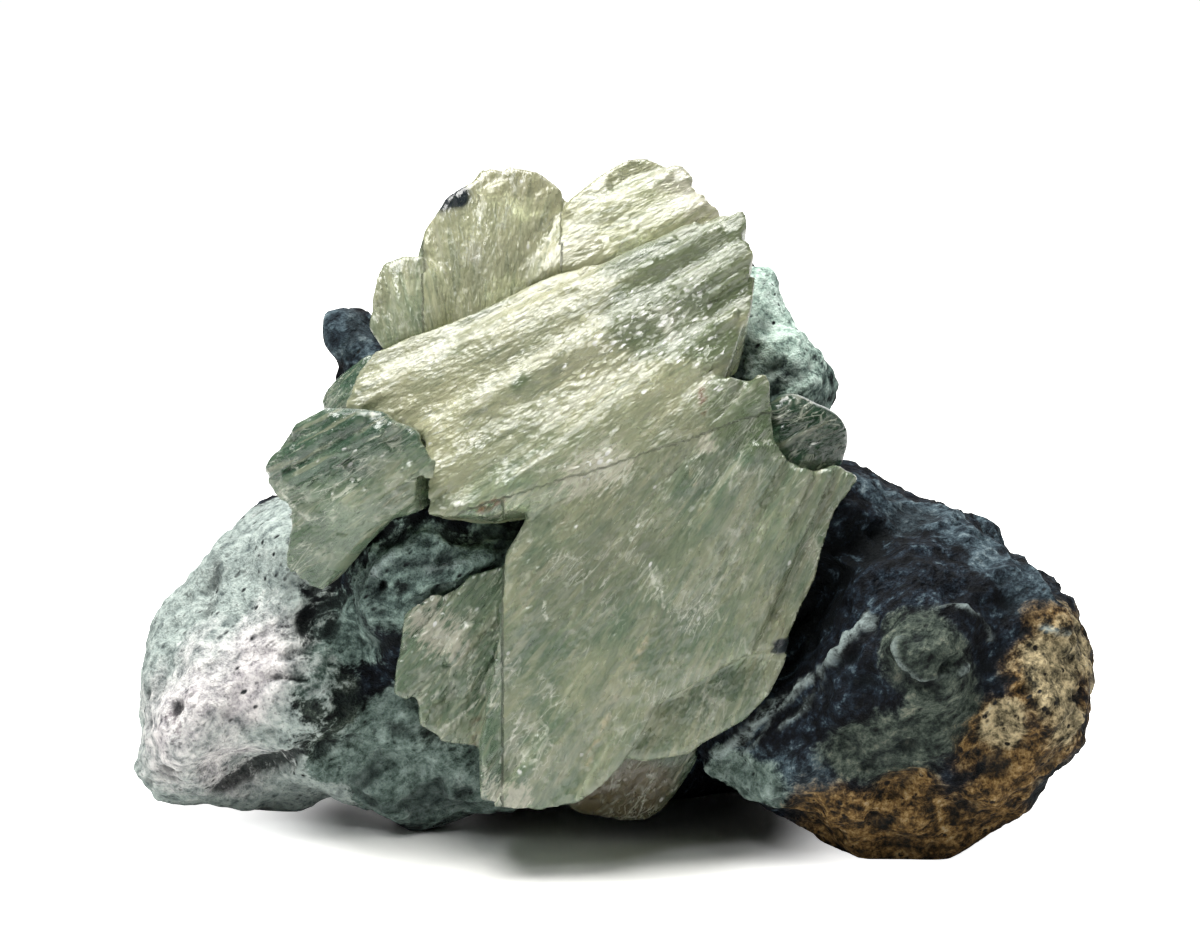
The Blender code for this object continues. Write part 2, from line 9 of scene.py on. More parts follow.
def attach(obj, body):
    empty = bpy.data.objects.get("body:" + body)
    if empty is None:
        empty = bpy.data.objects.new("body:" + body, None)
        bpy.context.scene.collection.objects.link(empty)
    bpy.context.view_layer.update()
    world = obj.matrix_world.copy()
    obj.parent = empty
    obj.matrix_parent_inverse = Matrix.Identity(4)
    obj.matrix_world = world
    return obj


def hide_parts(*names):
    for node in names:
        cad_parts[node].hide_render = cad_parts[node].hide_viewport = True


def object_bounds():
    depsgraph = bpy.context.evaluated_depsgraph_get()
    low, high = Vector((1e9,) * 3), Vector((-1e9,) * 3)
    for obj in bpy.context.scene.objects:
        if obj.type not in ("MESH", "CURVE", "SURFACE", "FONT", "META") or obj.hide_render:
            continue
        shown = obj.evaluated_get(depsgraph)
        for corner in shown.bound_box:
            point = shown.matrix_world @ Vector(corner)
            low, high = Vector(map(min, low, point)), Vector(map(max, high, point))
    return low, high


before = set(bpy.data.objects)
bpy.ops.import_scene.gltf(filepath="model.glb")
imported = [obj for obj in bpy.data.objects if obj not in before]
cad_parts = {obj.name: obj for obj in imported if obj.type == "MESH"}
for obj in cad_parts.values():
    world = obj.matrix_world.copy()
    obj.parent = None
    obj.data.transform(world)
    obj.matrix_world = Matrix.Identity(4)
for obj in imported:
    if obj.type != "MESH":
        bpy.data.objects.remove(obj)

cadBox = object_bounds()
scene = bpy.context.scene
mm = 0.001
weldDistance = 0.002  # mm, joins the loose triangles of a CAD node
footHeight = 2.0  # mm, below this the undersides keep more and more of their CAD shape
# The specimen stands this far from where its books and lobes were measured, in mm.
standShift = Vector((0.76, -2.5, 0.0))


def smooth(value, low, high):  # 0 below low, 1 above high, soft between
    share = min(max((value - low) / (high - low), 0.0), 1.0)
    return share * share * (3 - 2 * share)


def setValues(node, values):
    for name, value in values.items():
        node.inputs[name].default_value = value


def applied(obj):  # the mesh that the object's modifiers make
    bpy.context.view_layer.update()
    mesh = bpy.data.meshes.new_from_object(obj.evaluated_get(bpy.context.evaluated_depsgraph_get()))
    obj.modifiers.clear()
    obj.data = mesh
    return mesh


def fineCopy(node, name, voxel):  # an even, fine mesh of a CAD node
    obj = bpy.data.objects.new(name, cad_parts[node].data.copy())
    scene.collection.objects.link(obj)
    bm = bmesh.new()
    bm.from_mesh(obj.data)
    bmesh.ops.remove_doubles(bm, verts=bm.verts, dist=weldDistance * mm)
    bm.to_mesh(obj.data)
    bm.free()
    even = obj.modifiers.new("even", "REMESH")
    even.mode = "VOXEL"
    even.voxel_size = voxel * mm
    applied(obj)
    obj.data.materials.clear()
    return obj


def soften(obj, rounds, shares=None):  # evens the surface out, more where a vertex's share is larger
    soft = obj.modifiers.new("soften", "SMOOTH")
    soft.factor = 0.5
    soft.iterations = rounds
    if shares is not None:
        group = obj.vertex_groups.new(name="soften")
        for index in np.flatnonzero(shares > 0.01):
            group.add([int(index)], float(shares[index]), "REPLACE")
        soft.vertex_group = "soften"
    applied(obj)
    obj.vertex_groups.clear()


def places(mesh):  # vertex places and normals in mm, before the specimen was moved to stand on the origin
    count = len(mesh.vertices)
    spots = np.empty(count * 3)
    ways = np.empty(count * 3)
    mesh.vertices.foreach_get("co", spots)
    mesh.vertices.foreach_get("normal", ways)
    spots = spots.reshape(-1, 3) / mm - np.array(standShift)
    return spots, ways.reshape(-1, 3)


def moveOut(mesh, spots, ways, heights):  # pushes each vertex out by its height, inside the CAD box
    calm = np.clip(spots[:, 2] / footHeight, 0.0, 1.0)[:, None]
    calm = np.where(ways[:, 2:3] < -0.5, calm, 1.0)
    moved = (spots + ways * np.array(heights)[:, None] * calm + np.array(standShift)) * mm
    moved = np.clip(moved, np.array(cadBox[0]), np.array(cadBox[1]))
    mesh.vertices.foreach_set("co", moved.reshape(-1))
    mesh.update()


def storeValues(mesh, name, values):
    layer = mesh.attributes.new(name, "FLOAT", "POINT")
    layer.data.foreach_set("value", np.array(values, dtype=np.float32))


def storePlaces(mesh, name, vectors):
    layer = mesh.attributes.new(name, "FLOAT_VECTOR", "POINT")
    layer.data.foreach_set("vector", np.array(vectors, dtype=np.float32).reshape(-1))


class Nodes:  # a small hand for building a material's nodes
    def __init__(self, material):
        material.use_nodes = True
        self.tree = material.node_tree
        self.shader = self.tree.nodes["Principled BSDF"]
        self.output = self.tree.nodes["Material Output"]
        self.spot = 0

    def add(self, kind, inputs=None, **settings):
        node = self.tree.nodes.new(kind)
        self.spot += 1
        node.location = (-1800 + 190 * (self.spot % 9), 500 - 230 * (self.spot // 9))
        for name, value in settings.items():
            setattr(node, name, value)
        for name, value in (inputs or {}).items():
            socket = node.inputs[name]
            if isinstance(value, bpy.types.NodeSocket):
                self.tree.links.new(value, socket)
            else:
                socket.default_value = value
        return node

    def link(self, output, node, name):
        self.tree.links.new(output, node.inputs[name])

    def math(self, operation, first, second=0.0, clamp=False):
        node = self.add("ShaderNodeMath", {0: first, 1: second}, operation=operation, use_clamp=clamp)
        return node.outputs[0]

    def ramp(self, value, stops):  # stops: place, (r, g, b) as seen on screen, 0 to 255
        node = self.add("ShaderNodeValToRGB", {"Fac": value})
        elements = node.color_ramp.elements
        while len(elements) < len(stops):
            elements.new(0.5)
        for element, (place, colour) in zip(elements, stops):
            element.position = place
            element.color = (*screen(colour), 1.0)
        return node.outputs["Color"]

    def mask(self, value, low, high):
        node = self.add("ShaderNodeMapRange", {"Value": value, "From Min": low, "From Max": high},
                        interpolation_type="SMOOTHSTEP")
        return node.outputs["Result"]

    def product(self, first, second):
        return self.math("MULTIPLY", first, second)

    def total(self, first, second, clamp=False):
        return self.math("ADD", first, second, clamp)

    def around(self, value):  # how far a pattern is above or below its middle
        return self.math("SUBTRACT", value, 0.5)

    def mix(self, share, first, second):
        node = self.add("ShaderNodeMix", data_type="RGBA", blend_type="MIX")
        for socket, value in zip((node.inputs[0], node.inputs[6], node.inputs[7]), (share, first, second)):
            if isinstance(value, bpy.types.NodeSocket):
                self.tree.links.new(value, socket)
            else:
                socket.default_value = value
        return node.outputs[2]

    def tint(self, base, share, colour):  # an on-screen colour laid over the base colour
        return self.mix(share, base, (*screen(colour), 1.0))

    def noise(self, vector, scale, detail, roughness):
        node = self.add("ShaderNodeTexNoise", {"Vector": vector, "Scale": scale, "Detail": detail,
                                               "Roughness": roughness})
        return node.outputs[0]

    def stretched(self, vector, scale):
        return self.add("ShaderNodeMapping", {"Vector": vector, "Scale": scale}).outputs["Vector"]

    def attribute(self, name, output="Fac"):
        return self.add("ShaderNodeAttribute", attribute_name=name).outputs[output]

    def bump(self, height):  # height in mm
        node = self.add("ShaderNodeBump", {"Height": height, "Distance": mm, "Strength": 1.0})
        return node.outputs["Normal"]


def screen(colour):  # an on-screen colour, 0 to 255, as light
    return [((value / 255 + 0.055) / 1.055) ** 2.4 if value > 10 else value / 255 / 12.92 for value in colour]


def nearness(spots, lines, ragged=0.35):  # 1 on the lines or points, 0 at their reach
    share = np.zeros(len(spots))
    for points, reach in lines:
        corners = [np.array(point) for point in points]
        if len(corners) == 1:
            corners = corners * 2
        away = np.full(len(spots), 1e9)
        for start, end in zip(corners, corners[1:]):
            way = end - start
            along = np.clip((spots - start) @ way / max(way @ way, 1e-9), 0.0, 1.0)
            away = np.minimum(away, np.linalg.norm(spots - start - along[:, None] * way, axis=1))
        close = np.flatnonzero(away < reach * 1.5)
        for index in close:
            wobble = 1.0 + ragged * noise.noise(Vector(spots[index]) * (1.6 / reach))
            share[index] = max(share[index], 1.0 - away[index] / reach * wobble)
    return np.clip(share, 0.0, 1.0)


# Each book's plane, the middle of its outline, how far it spans across its sheets, and the sheets' direction
# in degrees from one side to the other. Tone is 0 for the darkest green and 1 for the palest cream. Steps is
# the share of the sheets' relief.
books = {
    "upperBlade": {"at": (-10.0, -15.2, 26.0), "lean": 28.0, "turn": -10.0, "heart": (5.5, 17.4),
                   "span": (-10.5, 8.7), "sheets": (42.0, 30.0), "tone": 0.735, "steps": 0.55},
    "lowerBlade": {"at": (0.0, -14.6, 20.0), "lean": 10.0, "turn": 0.0, "heart": (4.3, 2.1),
                   "span": (-9.4, 13.4), "sheets": (68.0, 42.0), "tone": 0.53, "steps": 0.9},
    "crownRight": {"at": (3.0, 0.0, 50.0), "lean": 32.0, "turn": 0.0, "heart": (-1.1, 0.9),
                   "span": (-8.7, 5.5), "sheets": (44.0, 22.0), "tone": 0.72, "steps": 0.6},
    "crownLeft": {"at": (-12.0, -2.0, 44.0), "lean": 24.0, "turn": 8.0, "heart": (2.7, 5.4),
                  "span": (-7.7, 6.3), "sheets": (66.0, 104.0), "tone": 0.74, "steps": 0.6},
    "crownEdge": {"at": (-12.0, -2.8, 44.0), "lean": 24.0, "turn": -6.0, "heart": (-5.0, 0.9),
                  "span": (-3.1, 3.5), "sheets": (96.0, 112.0), "tone": 0.58, "steps": 0.6},
    "leftBook": {"at": (-23.0, -12.0, 28.0), "lean": 5.0, "turn": -12.0, "heart": (1.4, 2.1),
                 "span": (-5.1, 6.9), "sheets": (42.0, 26.0), "tone": 0.45, "steps": 1.0},
    "lowerLeftBlade": {"at": (-10.0, -12.5, 17.0), "lean": 14.0, "turn": 6.0, "heart": (-3.0, -0.2),
                       "span": (-6.7, 5.2), "sheets": (60.0, 46.0), "tone": 0.41, "steps": 1.5},
    "rightKnob": {"at": (16.0, -10.0, 31.3), "lean": 15.0, "turn": 10.0, "heart": (-1.5, 3.7),
                  "span": (-4.0, 4.6), "sheets": (32.0, 16.0), "tone": 0.14, "steps": 1.0},
    "underCrystal": {"at": (4.0, -8.0, 6.0), "lean": -15.0, "turn": 0.0, "heart": (-2.5, -0.7),
                     "span": (-3.7, 5.2), "sheets": (64.0, 50.0), "tone": 0.20, "steps": 1.0},
    "leftEdge": {"at": (-21.0, -1.0, 38.0), "lean": 20.0, "turn": -15.0, "heart": (-0.1, -0.6),
                 "span": (-4.3, 2.2), "sheets": (40.0, 50.0), "tone": 0.35, "steps": 1.0},
}
bookNumber = {name: number for number, name in enumerate(books)}

ripples = {
    "voxel": 0.24,  # mm, edge of the fine mesh
    "softRounds": 3, "meltRounds": 190,
    "swell": 0.06, "swellLength": 8.0, "swellWidth": 4.5,
    "page": 0.12, "pageWidth": 0.8, "bend": 2.4, "bendLength": 4.0, "bendWidth": 2.6,
    "curl": 0.7, "curlLength": 1.3, "curlWidth": 0.8,
    "fadeLength": 6.0, "fadeWidth": 3.5,
    "crest": 0.72,  # where in a sheet's width its rise ends
    "sharpAngle": 42,
    "growth": 0.12,  # mm, closes the seats on the rock
}

# mm, closes the wider seat of the knob: all over, and more to the left and downward.
knobGrowth = {"all": 0.45, "spread": (-0.5, 0.0, -0.8)}

# Where the sheets lie so close that no steps show: points in mm and a reach.
meltedZones = [([(-12.0, -8.0, 38.0), (-3.0, -9.0, 40.0)], 7.0),
               ([(-9.0, -11.0, 34.0), (3.0, -11.0, 37.0)], 5.5),
               ([(-1.0, -7.5, 44.0), (4.0, -8.0, 42.5)], 4.0),
               ([(-3.0, -13.3, 27.0), (6.0, -13.5, 25.0)], 6.5),
               ([(-5.0, -15.5, 14.0), (3.0, -15.5, 20.0)], 5.5),
               ([(-20.5, -12.3, 26.0)], 4.5), ([(2.0, 0.0, 50.0)], 5.5), ([(-8.5, 0.0, 48.0)], 6.0),
               ([(-14.5, -2.0, 45.0)], 3.5), ([(9.0, -13.8, 26.0)], 5.0)]

# Patches and marks on the crystals: points in mm and a reach.
crystalMarks = {
    "milky": [([(-3.0, -11.8, 31.6), (-0.4, -12.2, 32.6)], 2.6),
              ([(-15.2, -12.0, 20.6), (-13.4, -12.5, 18.4)], 2.4),
              ([(-9.3, -16.1, 7.2), (-7.5, -17.2, 7.2)], 1.8), ([(5.3, 2.6, 53.4), (6.9, 1.2, 52.3)], 3.0),
              ([(7.2, -12.0, 34.2)], 1.2)],
    "smoky": [([(1.5, -4.5, 48.0), (9.1, -6.0, 49.8)], 3.6), ([(1.5, -7.8, 44.5), (9.5, -7.6, 46.5)], 3.6),
              ([(9.8, -11.8, 37.8), (10.8, -12.0, 35.5)], 3.4), ([(-7.6, -9.9, 38.9)], 1.5),
              ([(2.0, -8.6, 43.0), (8.0, -9.4, 42.2)], 3.0)],
    # painted shade at the top of the left crystal
    "shaded": [([(-25.5, -11.4, 34.4), (-23.0, -11.7, 35.2), (-17.0, -11.9, 35.6)], 3.4),
               ([(-27.0, -10.9, 32.0), (-20.5, -12.6, 32.6)], 1.6)],
    "earthy": [([(-1.2, -7.6, 4.2), (2.0, -8.1, 5.1)], 6.0)],
    "brownish": [([(-10.7, 2.5, 53.4), (-8.0, 3.0, 54.0)], 3.2),
                 ([(5.8, -11.8, 35.4), (-3.0, -12.5, 29.5)], 4.5),
                 ([(2.7, -13.6, 26.9), (-4.0, -13.0, 23.0)], 5.0)],
    "glint": [([(-1.2, -8.6, 42.1), (6.7, -9.6, 41.4)], 4.2), ([(1.0, -8.0, 44.0), (6.5, -7.5, 45.0)], 3.0),
              ([(-2.6, -12.3, 32.4), (-0.6, -12.3, 32.9)], 1.8), ([(-22.0, -12.0, 33.0)], 2.2)],
    "rust": [([(6.8, -10.7, 38.4), (6.9, -11.8, 36.6)], 0.6),
             ([(-9.1, -12.8, 30.0), (-10.6, -12.9, 29.3)], 0.8),
             ([(-10.8, -13.0, 11.8), (-11.0, -12.8, 10.7)], 1.1)],
    "speck": [([(1.5, -12.7, 32.3), (2.0, -12.7, 32.5)], 0.42)],
    "vein": [([(-3.2, -16.6, 7.5), (-1.2, -15.9, 12.1), (0.7, -15.9, 16.2), (2.3, -14.9, 19.2)], 0.55),
             ([(5.8, -12.8, 32.6), (6.6, -13.3, 30.0), (6.6, -13.5, 27.5)], 0.4)],
    "bright": [([(-22.2, -12.3, 29.9), (-21.2, -12.4, 30.6), (-20.2, -12.1, 31.5)], 0.40),
               ([(-18.0, -13.1, 31.2), (-17.2, -13.2, 31.8), (-15.6, -12.6, 31.5)], 0.34),
               ([(-26.8, -10.9, 31.0), (-25.8, -11.2, 29.5), (-24.0, -11.7, 28.0)], 0.34),
               ([(-19.2, -12.0, 36.8), (-19.0, -12.0, 36.2)], 0.40),
               ([(-19.6, -13.0, 34.6), (-18.5, -12.9, 35.3)], 0.34),
               ([(10.3, -13.0, 27.6), (11.1, -13.0, 27.3), (11.3, -13.5, 26.7)], 0.34),
               ([(14.2, -13.0, 30.0), (14.4, -12.5, 29.0)], 0.36),
               ([(-5.6, -14.2, 22.1), (-5.7, -14.3, 21.3), (-5.3, -14.3, 20.5)], 0.34),
               ([(-7.4, -15.7, 10.3), (-6.5, -16.8, 9.2)], 0.36),
               ([(-8.3, -15.6, 11.3), (-7.2, -15.5, 13.8)], 0.32),
               ([(-9.1, -15.8, 9.5), (-8.2, -15.5, 11.4)], 0.32),
               ([(2.9, -13.6, 24.5), (3.0, -14.3, 23.4), (3.7, -14.3, 22.9)], 0.32),
               ([(3.6, -14.4, 22.0), (4.4, -14.9, 21.1), (4.6, -14.9, 20.5)], 0.32),
               ([(7.9, -12.4, 32.3), (8.3, -13.5, 30.7)], 0.40),
               ([(9.1, -13.3, 31.8), (8.8, -13.6, 30.1)], 0.34),
               ([(-1.2, -14.0, 23.0), (-0.1, -13.7, 24.9)], 0.30),
               ([(-2.0, -14.4, 19.1), (-0.9, -14.1, 21.2)], 0.30),
               ([(-3.6, -15.0, 15.2), (-2.0, -14.6, 17.5)], 0.32),
               ([(-15.3, -5.3, 40.9), (-15.4, -8.4, 35.7)], 0.34),
               ([(-15.7, -11.7, 20.9), (-13.1, -12.5, 18.6)], 0.34),
               ([(-14.7, -13.7, 14.0), (-11.6, -12.2, 16.9)], 0.32),
               ([(-13.9, -13.7, 11.6), (-10.8, -12.7, 13.8)], 0.30)],
    "stone": [([(-14.0, 1.8, 52.2), (-12.9, 2.0, 52.6)], 1.5),
              ([(12.9, -13.4, 18.4), (13.8, -12.8, 18.2)], 1.0)],
    "calm": [([(1.9, -14.5, 9.7), (6.7, -13.9, 12.0), (12.2, -13.1, 17.5)], 4.5)],
}


def bookTurn(book):
    return Matrix.Rotation(radians(book["turn"]), 3, "Z") @ Matrix.Rotation(radians(90 - book["lean"]), 3, "X")


def bookPlaces(spots, book):  # mm along the sheets, across them, and out of the book's face
    local = (spots - np.array(book["at"])) @ np.array(bookTurn(book))
    u = local[:, 0] - book["heart"][0]
    v = local[:, 1] - book["heart"][1]
    first, last = (radians(angle) for angle in book["sheets"])
    low, high = book["span"]
    middle = (first + last) / 2
    share = np.clip((v * cos(middle) - u * sin(middle) - low) / (high - low), 0.0, 1.0)
    angle = first + (last - first) * share
    return np.stack([u * np.cos(angle) + v * np.sin(angle), v * np.cos(angle) - u * np.sin(angle),
                     local[:, 2]], axis=1)


def rippleHeight(along, across, depth):  # mm of relief, and 1 at a sheet's edge
    r = ripples
    swell = noise.noise(Vector((along / r["swellLength"], across / r["swellWidth"], depth / 8)))
    bend = noise.fractal(Vector((along / r["bendLength"], across / r["bendWidth"], depth / 5 + 7)), 0.9, 2.0, 3)
    curl = noise.noise(Vector((along / r["curlLength"], across / r["curlWidth"], depth / 2)))
    sheet = across / r["pageWidth"] + bend * r["bend"] + curl * r["curl"]
    part = sheet - floor(sheet)
    rise = part / r["crest"] if part < r["crest"] else 1.0 - smooth(part, r["crest"], 1.0)
    fade = noise.noise(Vector((along / r["fadeLength"], across / r["fadeWidth"], depth / 6 + 31)))
    strength = 0.25 + 0.75 * smooth(fade, -0.3, 0.25)
    edge = smooth(part, 0.62, 0.8) * (1.0 - smooth(part, 0.88, 1.0)) * strength
    return swell * r["swell"] + (rise - 0.5) * r["page"] * strength, edge


def dressCrystal(node, name, choose, material, growth=ripples["growth"], spread=(0.0, 0.0, 0.0)):
    obj = fineCopy(node, name, ripples["voxel"])
    spots, ways = places(obj.data)
    soften(obj, ripples["meltRounds"], np.clip(nearness(spots, meltedZones) * 2.0, 0.0, 1.0))
    soften(obj, ripples["softRounds"])
    mesh = obj.data
    spots, ways = places(mesh)
    owner, tones = choose(spots)
    sheetPlaces = np.zeros_like(spots)
    facing = np.zeros(len(spots))
    steps = np.zeros(len(spots))
    for number, book in enumerate(books.values()):
        mine = owner == number
        if mine.any():
            sheetPlaces[mine] = bookPlaces(spots[mine], book)
            facing[mine] = np.abs(ways[mine] @ np.array(bookTurn(book))[:, 2])
            steps[mine] = book["steps"]
    marks = {mark: nearness(spots, lines) for mark, lines in crystalMarks.items()}
    relief = np.array([rippleHeight(*place) for place in sheetPlaces])
    still = 1.0 - 0.8 * np.clip(marks.pop("calm") * 2.5, 0.0, 1.0)
    still *= np.clip(facing * 2.0 - 0.5, 0.25, 1.0) * steps
    grown = growth + np.clip(ways @ np.array(spread), 0.0, None)  # spread: mm more, that way
    moveOut(mesh, spots, ways, relief[:, 0] * still + grown)
    storePlaces(mesh, "sheetPlace", sheetPlaces)
    storeValues(mesh, "tone", tones)
    storeValues(mesh, "edge", relief[:, 1] * still)
    for mark, share in marks.items():
        storeValues(mesh, mark, share)
    mesh.shade_smooth()
    mesh.set_sharp_from_angle(angle=radians(ripples["sharpAngle"]))
    mesh.materials.append(material)
    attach(obj, "root")
    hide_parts(node)
    print("dressed", name, len(mesh.polygons), "faces")
    return obj


def whole(name):  # every vertex belongs to the one book
    return lambda spots: (np.full(len(spots), bookNumber[name]), np.full(len(spots), books[name]["tone"]))


# mm, in the upper blade's plane: its sheets turn into the lower blade's below this slanted line, and the tone
# changes over the blend. The lower left blade lies left of its place.
bladeBorder = {"height": 4.6, "slope": 0.395, "left": -8.9, "below": 1.0, "blend": 7.5}


def mainBladeBooks(spots):
    book = books["upperBlade"]
    local = (spots - np.array(book["at"])) @ np.array(bookTurn(book))
    above = local[:, 1] - bladeBorder["height"] - bladeBorder["slope"] * local[:, 0]
    lowerLeft = (spots[:, 0] < bladeBorder["left"]) & (above < 0)
    owner = np.where(above > 0, bookNumber["upperBlade"],
                     np.where(lowerLeft, bookNumber["lowerLeftBlade"], bookNumber["lowerBlade"]))
    share = np.clip((above + bladeBorder["below"]) / bladeBorder["blend"], 0.0, 1.0)
    low = np.where(lowerLeft, books["lowerLeftBlade"]["tone"], books["lowerBlade"]["tone"])
    return owner, low + (book["tone"] - low) * share


# mm from left to right: where the crown's edge crystal ends, where the right one begins, and the tone's change.
crownBorder = {"edge": -15.6, "right": -4.4, "toneFrom": -6.0, "blend": 4.0}


def crownBooks(spots):
    right = np.clip((spots[:, 0] - crownBorder["toneFrom"]) / crownBorder["blend"], 0.0, 1.0)
    edge = spots[:, 0] < crownBorder["edge"]
    owner = np.where(spots[:, 0] > crownBorder["right"], bookNumber["crownRight"],
                     np.where(edge, bookNumber["crownEdge"], bookNumber["crownLeft"]))
    left = np.where(edge, books["crownEdge"]["tone"], books["crownLeft"]["tone"])
    return owner, left + (books["crownRight"]["tone"] - left) * right


# The crystals' colours, on screen from 0 to 255, and the values that are the same all over.
crystalLook = {
    "greens": [(0.0, (32, 60, 40)), (0.25, (77, 106, 86)), (0.45, (126, 145, 120)), (0.65, (178, 182, 150)),
               (0.85, (216, 214, 174)), (1.0, (236, 234, 200))],
    "paleStreak": (222, 218, 186), "darkStreak": (86, 108, 86), "smoky": (112, 128, 94),
    "brownish": (160, 152, 122), "earthy": (118, 96, 62), "milky": (228, 224, 206),
    "paleEdgeAndHighlight": (232, 236, 218), "vein": (222, 212, 178), "rust": (122, 74, 44),
    "stone": (50, 58, 64), "speck": (10, 8, 6), "glint": (255, 255, 252),
    "sheetsPerMm": 2.0, "smoothest": 0.14, "roughest": 0.34,
    "tiltHeight": 0.09, "sheetHeight": 0.06, "glintHeight": 0.36,  # mm
    "body": {"IOR": 1.57, "Transmission Weight": 0.5, "Coat Weight": 0.3, "Coat Roughness": 0.05},
    "absorbed": {"Color": (0.66, 0.80, 0.62, 1.0), "Density": 50.0},
}


def cleavageCracks(n, sheets, clouds, milk):  # curved lines, broken off where the gap pattern is low
    bent = n.add("ShaderNodeVectorMath", {0: clouds, 1: (6.0, 2.5, 1.0), 2: sheets}, operation="MULTIPLY_ADD")
    cells = n.add("ShaderNodeTexVoronoi", {"Vector": n.stretched(bent.outputs["Vector"], (0.26, 1.1, 0.4)),
                                           "Scale": 1.0}, feature="DISTANCE_TO_EDGE")
    return n.product(n.mask(cells.outputs["Distance"], 0.05, 0.015), n.mask(milk, 0.50, 0.58))


def bodyColour(n, streaks, clouds, grain):  # the book's own tone, wandering with streaks and clouds, darker on the smoky marks and with painted shade on the shaded marks
    tone = n.attribute("tone")
    wander = n.product(n.around(streaks), 0.36)
    wide = n.product(n.around(clouds), 0.40)
    fibrous = n.math("SUBTRACT", 0.68, n.product(tone, 0.66))
    dusty = n.product(n.around(grain), fibrous)
    # painted shade on the shaded marks; the smoky marks are darker green
    dim = n.total(n.product(n.attribute("smoky"), -0.14), n.product(n.attribute("shaded"), -0.34))
    value = n.total(n.total(n.total(tone, wander), n.total(wide, dusty)), dim, clamp=True)
    return n.ramp(value, crystalLook["greens"])


def stained(n, base, sheets, streaks, milk, grain):  # long streaks, smoky and earthy parts and milky patches
    longStreaks = n.noise(n.stretched(sheets, (0.15, 1.5, 0.5)), 1.0, 2.0, 0.6)
    base = n.tint(base, n.product(n.mask(longStreaks, 0.56, 0.66), 0.30), crystalLook["paleStreak"])
    base = n.tint(base, n.product(n.mask(longStreaks, 0.44, 0.34), 0.38), crystalLook["darkStreak"])
    smoky = n.mask(n.total(n.attribute("smoky"), n.around(streaks)), 0.02, 0.5)
    base = n.tint(base, n.product(smoky, 0.75), crystalLook["smoky"])
    base = n.tint(base, n.product(n.attribute("brownish"), 0.32), crystalLook["brownish"])
    earthy = n.mask(n.total(n.attribute("earthy"), n.around(milk)), 0.1, 0.8)
    base = n.tint(base, n.product(earthy, 0.75), crystalLook["earthy"])
    milky = n.attribute("milky")
    crumbs = n.product(n.around(grain), n.mask(milky, 0.0, 0.2))
    patch = n.total(milky, n.product(crumbs, 3.0))
    veil = n.total(n.product(n.mask(milk, 0.58, 0.80), 0.5), n.product(n.mask(patch, 0.15, 0.8), 0.7),
                   clamp=True)
    return n.tint(base, veil, crystalLook["milky"])


def marked(n, base, streaks, fineStreaks, grain, milk, part, cracks):  # pale sheet edges, cracks and hooks, partly painted highlight, and small marks
    fineEdge = n.product(n.mask(part, 0.74, 0.88), n.mask(part, 1.0, 0.94))
    wisps = n.product(n.attribute("edge"), n.mask(streaks, 0.46, 0.60))
    thinEdge = n.product(fineEdge, n.mask(milk, 0.50, 0.62))
    pale = n.total(n.product(wisps, 0.35), n.product(thinEdge, 0.50), clamp=True)
    pale = n.total(pale, n.product(cracks, 0.42), clamp=True)
    hooks = n.product(n.mask(n.attribute("bright"), 0.35, 0.8), n.mask(grain, 0.42, 0.52))
    pale = n.total(pale, n.product(hooks, 0.9), clamp=True)
    # the pale sheet edges, cracks and hooks are partly pale cleavage and partly painted highlight
    base = n.tint(base, pale, crystalLook["paleEdgeAndHighlight"])
    vein = n.product(n.mask(n.attribute("vein"), 0.1, 0.9), n.mask(fineStreaks, 0.40, 0.62))
    base = n.tint(base, n.product(vein, 0.8), crystalLook["vein"])
    rust = n.product(n.mask(n.attribute("rust"), 0.1, 0.9), n.mask(fineStreaks, 0.40, 0.6))
    base = n.tint(base, n.product(rust, 0.8), crystalLook["rust"])
    base = n.tint(base, n.mask(n.attribute("stone"), 0.1, 0.5), crystalLook["stone"])
    return n.tint(base, n.mask(n.attribute("speck"), 0.1, 0.4), crystalLook["speck"])


def cleavageFacets(n, sheets, fineStreaks):  # the glints, painted as white dots in the base colour and close together in their zones, and the facets' relief
    spread = n.stretched(sheets, (1.3, 2.6, 1.5))
    dots = n.add("ShaderNodeTexVoronoi", {"Vector": spread, "Scale": 1.0})
    luck = n.add("ShaderNodeSeparateColor", {"Color": dots.outputs["Color"]}).outputs[0]
    flocks = n.mask(fineStreaks, 0.44, 0.58)
    luck = n.total(luck, n.product(n.product(n.attribute("glint"), 0.85), flocks))
    chosen = n.mask(luck, 0.988, 1.0)
    size = n.product(fineStreaks, 0.75)
    bright = n.add("ShaderNodeMapRange", {"Value": dots.outputs["Distance"], "From Min": size,
                                          "From Max": n.product(size, 0.55)})
    fromDot = n.add("ShaderNodeVectorMath", {0: spread, 1: dots.outputs["Position"]}, operation="SUBTRACT")
    upward = n.add("ShaderNodeSeparateXYZ", {"Vector": fromDot.outputs["Vector"]}).outputs["Y"]
    tipped = n.product(n.product(upward, -1.0), chosen)
    tilt = n.add("ShaderNodeVectorMath", {0: dots.outputs["Color"], 1: (0.5, 0.5, 0.5)}, operation="SUBTRACT")
    facet = n.add("ShaderNodeVectorMath", {0: fromDot.outputs["Vector"], 1: tilt.outputs["Vector"]},
                  operation="DOT_PRODUCT").outputs["Value"]
    return n.product(bright.outputs["Result"], chosen), tipped, facet


